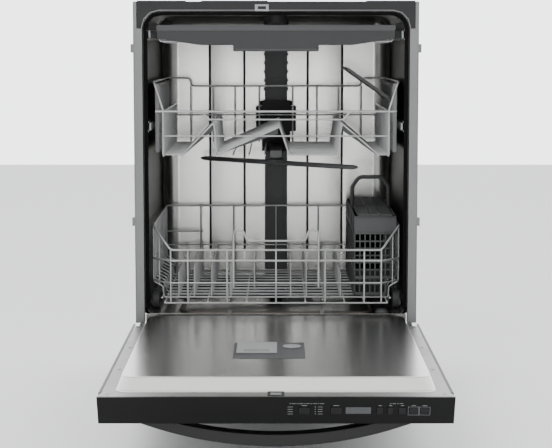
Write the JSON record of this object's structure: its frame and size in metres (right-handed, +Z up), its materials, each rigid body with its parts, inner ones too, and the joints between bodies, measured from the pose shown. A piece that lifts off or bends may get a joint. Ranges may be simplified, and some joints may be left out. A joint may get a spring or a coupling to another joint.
{
  "type": "built-in dishwasher",
  "caption": "Built-in dishwasher with a drop-down door, lower, upper and third racks, spinning spray arms, a cutlery basket and a bow handle.",
  "frame": {"origin": "centre of the lowered machine's box on the floor, under the feet", "axes": "+Y from the door towards the cabinet's back, +Z up, +X to the right seen from the front"},
  "size_m": [0.609, 1.273, 0.868],
  "materials": {
    "stainless_tub": "ferritic stainless sheet, deep drawn, brushed, bright",
    "stainless_door": "stainless inner door skin, fine satin",
    "frame_paint": "mid grey coated frame",
    "gasket_rubber": "matt black EPDM",
    "galvanised_steel": "zinc plated, dull",
    "heater_steel": "heat tinted tube",
    "black_enamel": "gloss black",
    "black_plastic": "black polypropylene",
    "console_plastic": "satin black console",
    "key_plastic": "satin black keys",
    "display_lens": "smoked window",
    "grey_plastic": "dark grey polypropylene",
    "trim_plastic": "grey moulded trim",
    "arm_plastic": "grey polypropylene",
    "light_plastic": "light grey polypropylene",
    "coated_wire": "silver grey nylon coated steel wire"
  },
  "bodies": {
    "cabinet": {"tub_liner": "stainless_tub", "front_frame": "frame_paint", "door_gasket": "gasket_rubber", "base_frame": "galvanised_steel", "toe_panel": "black_enamel", "sump": "black_plastic", "filter_plate": "stainless_tub", "wash_pump": "black_plastic", "drain_pump": "black_plastic", "heating_element": "heater_steel", "door_spring_left": "galvanised_steel", "door_spring_right": "galvanised_steel", "feed_column": "grey_plastic", "docking_port": "black_plastic"},
    "door": {"door_outer_panel": "black_enamel", "door_inner_liner": "stainless_door", "hinge_arm_left": "galvanised_steel", "hinge_arm_right": "galvanised_steel", "control_console": "console_plastic", "display_window": "display_lens", "door_handle": "black_enamel", "dispenser_body": "grey_plastic", "latch_housing": "black_plastic"},
    "leg_front_left": {"leg_front_left": "black_plastic"},
    "leg_front_right": {"leg_front_right": "black_plastic"},
    "leg_rear_left": {"leg_rear_left": "black_plastic"},
    "leg_rear_right": {"leg_rear_right": "black_plastic"},
    "filter_cup": {"filter_cup": "grey_plastic"},
    "float_cap": {"float_cap": "grey_plastic"},
    "lower_spray_arm": {"lower_spray_arm": "arm_plastic"},
    "dispenser_lid": {"dispenser_lid": "light_plastic"},
    "rinse_cap": {"rinse_cap": "light_plastic"},
    "latch_bolt": {"latch_bolt": "galvanised_steel"},
    "key_cycle": {"key_cycle": "key_plastic"},
    "key_options": {"key_options": "key_plastic"},
    "key_heat": {"key_heat": "key_plastic"},
    "key_rinse": {"key_rinse": "key_plastic"},
    "key_delay": {"key_delay": "key_plastic"},
    "key_cancel": {"key_cancel": "key_plastic"},
    "key_start": {"key_start": "key_plastic"},
    "lower_rack": {"lower_rack": "coated_wire"},
    "fold_down_tines": {"fold_down_tines": "coated_wire"},
    "rack_wheel_front_left": {"rack_wheel_front_left": "grey_plastic"},
    "rack_wheel_front_right": {"rack_wheel_front_right": "grey_plastic"},
    "rack_wheel_rear_left": {"rack_wheel_rear_left": "grey_plastic"},
    "rack_wheel_rear_right": {"rack_wheel_rear_right": "grey_plastic"},
    "cutlery_basket": {"cutlery_basket": "grey_plastic"},
    "basket_lid": {"basket_lid": "grey_plastic"},
    "upper_rack": {"upper_rack": "coated_wire", "upper_arm_feed": "arm_plastic", "rack_adjuster_left": "light_plastic", "rack_adjuster_right": "light_plastic"},
    "cup_shelf": {"cup_shelf": "grey_plastic"},
    "upper_spray_arm": {"upper_spray_arm": "arm_plastic"},
    "third_rack": {"third_rack": "coated_wire", "third_rack_trim": "trim_plastic"},
    "upper_slide_left": {"upper_slide_left": "galvanised_steel"},
    "upper_slide_right": {"upper_slide_right": "galvanised_steel"},
    "third_slide_left": {"third_slide_left": "galvanised_steel"},
    "third_slide_right": {"third_slide_right": "galvanised_steel"}
  },
  "joints": [
    {"name": "door_hinge", "type": "hinge", "parent": "cabinet", "child": "door", "pos_m": [0, 0.0505, 0.179], "axis": [1, 0, 0], "range_deg": [-90, 0]},
    {"name": "leg_turn_front_left", "type": "hinge", "parent": "cabinet", "child": "leg_front_left", "pos_m": [-0.2672, 0.1615, 0], "axis": [0, 0, 1], "range_deg": [-180, 180]},
    {"name": "leg_turn_front_right", "type": "hinge", "parent": "cabinet", "child": "leg_front_right", "pos_m": [0.2672, 0.1615, 0], "axis": [0, 0, 1], "range_deg": [-180, 180]},
    {"name": "leg_turn_rear_left", "type": "hinge", "parent": "cabinet", "child": "leg_rear_left", "pos_m": [-0.2672, 0.5915, 0], "axis": [0, 0, 1], "range_deg": [-180, 180]},
    {"name": "leg_turn_rear_right", "type": "hinge", "parent": "cabinet", "child": "leg_rear_right", "pos_m": [0.2672, 0.5915, 0], "axis": [0, 0, 1], "range_deg": [-180, 180]},
    {"name": "filter_twist", "type": "hinge", "parent": "cabinet", "child": "filter_cup", "pos_m": [0.052, 0.3345, 0.19], "axis": [0, 0, 1], "range_deg": [0, 90]},
    {"name": "float_rise", "type": "slide", "parent": "cabinet", "child": "float_cap", "axis": [0, 0, 1], "range_m": [0, 0.008]},
    {"name": "lower_arm_spin", "type": "hinge", "parent": "cabinet", "child": "lower_spray_arm", "pos_m": [0, 0.3345, 0.206], "axis": [0, 0, 1], "continuous": true},
    {"name": "dispenser_lid_slide", "type": "slide", "parent": "door", "child": "dispenser_lid", "axis": [0, -1, 0], "range_m": [0, 0.036]},
    {"name": "rinse_cap_twist", "type": "hinge", "parent": "door", "child": "rinse_cap", "pos_m": [0.03, -0.2965, 0.2075], "axis": [0, 0, 1], "range_deg": [0, 90]},
    {"name": "latch_travel", "type": "slide", "parent": "door", "child": "latch_bolt", "axis": [0, 1, 0], "range_m": [0, 0.006], "stiffness_N_per_m": 300, "springref_m": -0.006},
    {"name": "press_cycle", "type": "slide", "parent": "door", "child": "key_cycle", "axis": [0, 0.9116, 0.4111], "range_m": [0, 0.001], "stiffness_N_per_m": 400, "springref_m": -0.002},
    {"name": "press_options", "type": "slide", "parent": "door", "child": "key_options", "axis": [0, 0.9116, 0.4111], "range_m": [0, 0.001], "stiffness_N_per_m": 400, "springref_m": -0.002},
    {"name": "press_heat", "type": "slide", "parent": "door", "child": "key_heat", "axis": [0, 0.9116, 0.4111], "range_m": [0, 0.001], "stiffness_N_per_m": 400, "springref_m": -0.002},
    {"name": "press_rinse", "type": "slide", "parent": "door", "child": "key_rinse", "axis": [0, 0.9116, 0.4111], "range_m": [0, 0.001], "stiffness_N_per_m": 400, "springref_m": -0.002},
    {"name": "press_delay", "type": "slide", "parent": "door", "child": "key_delay", "axis": [0, 0.9116, 0.4111], "range_m": [0, 0.001], "stiffness_N_per_m": 400, "springref_m": -0.002},
    {"name": "press_cancel", "type": "slide", "parent": "door", "child": "key_cancel", "axis": [0, 0.9116, 0.4111], "range_m": [0, 0.001], "stiffness_N_per_m": 400, "springref_m": -0.002},
    {"name": "press_start", "type": "slide", "parent": "door", "child": "key_start", "axis": [0, 0.9116, 0.4111], "range_m": [0, 0.001], "stiffness_N_per_m": 400, "springref_m": -0.002},
    {"name": "lower_rack_slide", "type": "slide", "parent": "cabinet", "child": "lower_rack", "axis": [0, -1, 0], "range_m": [0, 0.5]},
    {"name": "tines_fold", "type": "hinge", "parent": "lower_rack", "child": "fold_down_tines", "pos_m": [-0.048, 0.329, 0.2385], "axis": [0, 1, 0], "range_deg": [0, 88]},
    {"name": "wheel_roll_front_left", "type": "hinge", "parent": "lower_rack", "child": "rack_wheel_front_left", "pos_m": [-0.2612, 0.1605, 0.2273], "axis": [1, 0, 0], "range_deg": [0, 1430]},
    {"name": "wheel_roll_front_right", "type": "hinge", "parent": "lower_rack", "child": "rack_wheel_front_right", "pos_m": [0.2612, 0.1605, 0.2273], "axis": [1, 0, 0], "range_deg": [0, 1430]},
    {"name": "wheel_roll_rear_left", "type": "hinge", "parent": "lower_rack", "child": "rack_wheel_rear_left", "pos_m": [-0.2612, 0.4975, 0.2273], "axis": [1, 0, 0], "range_deg": [0, 1430]},
    {"name": "wheel_roll_rear_right", "type": "hinge", "parent": "lower_rack", "child": "rack_wheel_rear_right", "pos_m": [0.2612, 0.4975, 0.2273], "axis": [1, 0, 0], "range_deg": [0, 1430]},
    {"name": "basket_lift", "type": "slide", "parent": "lower_rack", "child": "cutlery_basket", "axis": [0, 0, 1], "range_m": [0, 0.01]},
    {"name": "basket_lid_hinge", "type": "hinge", "parent": "cutlery_basket", "child": "basket_lid", "pos_m": [0.17505, 0.1615, 0.4106], "axis": [0, -1, 0], "range_deg": [0, 95]},
    {"name": "upper_rack_slide", "type": "slide", "parent": "cabinet", "child": "upper_rack", "axis": [0, -1, 0], "range_m": [0, 0.4]},
    {"name": "cup_shelf_tilt", "type": "hinge", "parent": "upper_rack", "child": "cup_shelf", "pos_m": [0.24568, 0.2615, 0.66139], "axis": [0, 1, 0], "range_deg": [-35, 30]},
    {"name": "upper_arm_spin", "type": "hinge", "parent": "upper_rack", "child": "upper_spray_arm", "pos_m": [0, 0.3345, 0.505], "axis": [0, 0, 1], "continuous": true},
    {"name": "third_rack_slide", "type": "slide", "parent": "cabinet", "child": "third_rack", "axis": [0, -1, 0], "range_m": [0, 0.36]},
    {"name": "upper_rail_left", "type": "slide", "parent": "cabinet", "child": "upper_slide_left", "axis": [0, -1, 0], "range_m": [0, 0.2]},
    {"name": "upper_rail_right", "type": "slide", "parent": "cabinet", "child": "upper_slide_right", "axis": [0, -1, 0], "range_m": [0, 0.2]},
    {"name": "third_rail_left", "type": "slide", "parent": "cabinet", "child": "third_slide_left", "axis": [0, -1, 0], "range_m": [0, 0.18]},
    {"name": "third_rail_right", "type": "slide", "parent": "cabinet", "child": "third_slide_right", "axis": [0, -1, 0], "range_m": [0, 0.18]}
  ],
  "couplings": [
    {"joint": "wheel_roll_front_left", "follows": "lower_rack_slide", "rad_per_m": 49.505},
    {"joint": "wheel_roll_front_right", "follows": "lower_rack_slide", "rad_per_m": 49.505},
    {"joint": "wheel_roll_rear_left", "follows": "lower_rack_slide", "rad_per_m": 49.505},
    {"joint": "wheel_roll_rear_right", "follows": "lower_rack_slide", "rad_per_m": 49.505},
    {"joint": "upper_rail_left", "follows": "upper_rack_slide", "ratio": 0.5},
    {"joint": "upper_rail_right", "follows": "upper_rack_slide", "ratio": 0.5},
    {"joint": "third_rail_left", "follows": "third_rack_slide", "ratio": 0.5},
    {"joint": "third_rail_right", "follows": "third_rack_slide", "ratio": 0.5}
  ]
}
